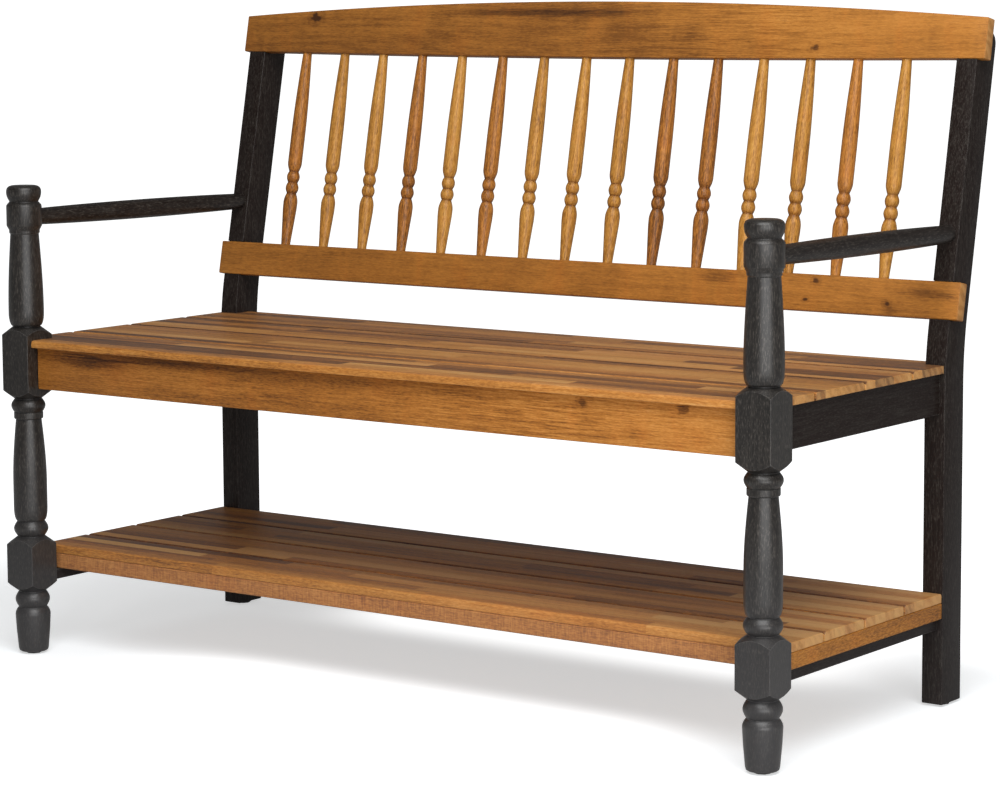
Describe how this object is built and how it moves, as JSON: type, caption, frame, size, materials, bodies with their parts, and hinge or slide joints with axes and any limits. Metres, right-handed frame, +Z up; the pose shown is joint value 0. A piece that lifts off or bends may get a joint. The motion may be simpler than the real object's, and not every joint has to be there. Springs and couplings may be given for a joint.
{
  "type": "outdoor bench",
  "caption": "Two-seat outdoor bench with black turned front legs, round arms, raked spindle back under an arched crest rail, slatted wooden seat and slatted low shelf.",
  "frame": {"origin": "on the floor, under the middle of the overall box", "axes": "+X along the bench to the sitter's left, +Y to the back, +Z up; the bench faces -Y"},
  "size_m": [1.22, 0.5641, 0.885],
  "materials": {
    "black_paint": "black satin paint, open grain, rubbed edges",
    "back_wood": "honey-brown satin oil",
    "seat_wood": "honey-brown satin oil, edge-glued staves",
    "shelf_wood": "red-brown satin oil, edge-glued staves",
    "hidden_wood": "sawn, thinly oiled",
    "glide_plastic": "moulded, matt",
    "screw_steel": "zinc-plated"
  },
  "bodies": {
    "root": {"front_leg_left": "black_paint", "front_leg_right": "black_paint", "back_post_left": "black_paint", "back_post_right": "black_paint", "arm_left": "black_paint", "arm_right": "black_paint", "side_apron_left": "black_paint", "side_apron_right": "black_paint", "back_apron": "black_paint", "shelf_rail_left": "black_paint", "shelf_rail_right": "black_paint", "crest_rail": "back_wood", "lower_back_rail": "back_wood", "spindle_01": "back_wood", "spindle_02": "back_wood", "spindle_03": "back_wood", "spindle_04": "back_wood", "spindle_05": "back_wood", "spindle_06": "back_wood", "spindle_07": "back_wood", "spindle_08": "back_wood", "spindle_09": "back_wood", "spindle_10": "back_wood", "spindle_11": "back_wood", "spindle_12": "back_wood", "spindle_13": "back_wood", "spindle_14": "back_wood", "spindle_15": "back_wood", "front_apron": "seat_wood", "seat_slat_1": "seat_wood", "seat_slat_2": "seat_wood", "seat_slat_3": "seat_wood", "seat_slat_4": "seat_wood", "seat_bearer_1": "hidden_wood", "seat_bearer_2": "hidden_wood", "seat_bearer_3": "hidden_wood", "corner_brace_front_left": "hidden_wood", "corner_brace_front_right": "hidden_wood", "corner_brace_back_left": "hidden_wood", "corner_brace_back_right": "hidden_wood", "shelf_slat_1": "shelf_wood", "shelf_slat_2": "shelf_wood", "shelf_slat_3": "shelf_wood", "shelf_slat_4": "shelf_wood", "shelf_front_batten": "shelf_wood", "shelf_back_batten": "shelf_wood", "shelf_side_batten_left": "shelf_wood", "shelf_side_batten_right": "shelf_wood", "shelf_cross_batten_1": "hidden_wood", "shelf_cross_batten_2": "hidden_wood", "glide_front_left": "glide_plastic", "glide_front_right": "glide_plastic", "glide_back_left": "glide_plastic", "glide_back_right": "glide_plastic", "crest_rail_screw_left": "screw_steel", "crest_rail_screw_right": "screw_steel", "lower_rail_screw_left": "screw_steel", "lower_rail_screw_right": "screw_steel"}
  },
  "joints": []
}
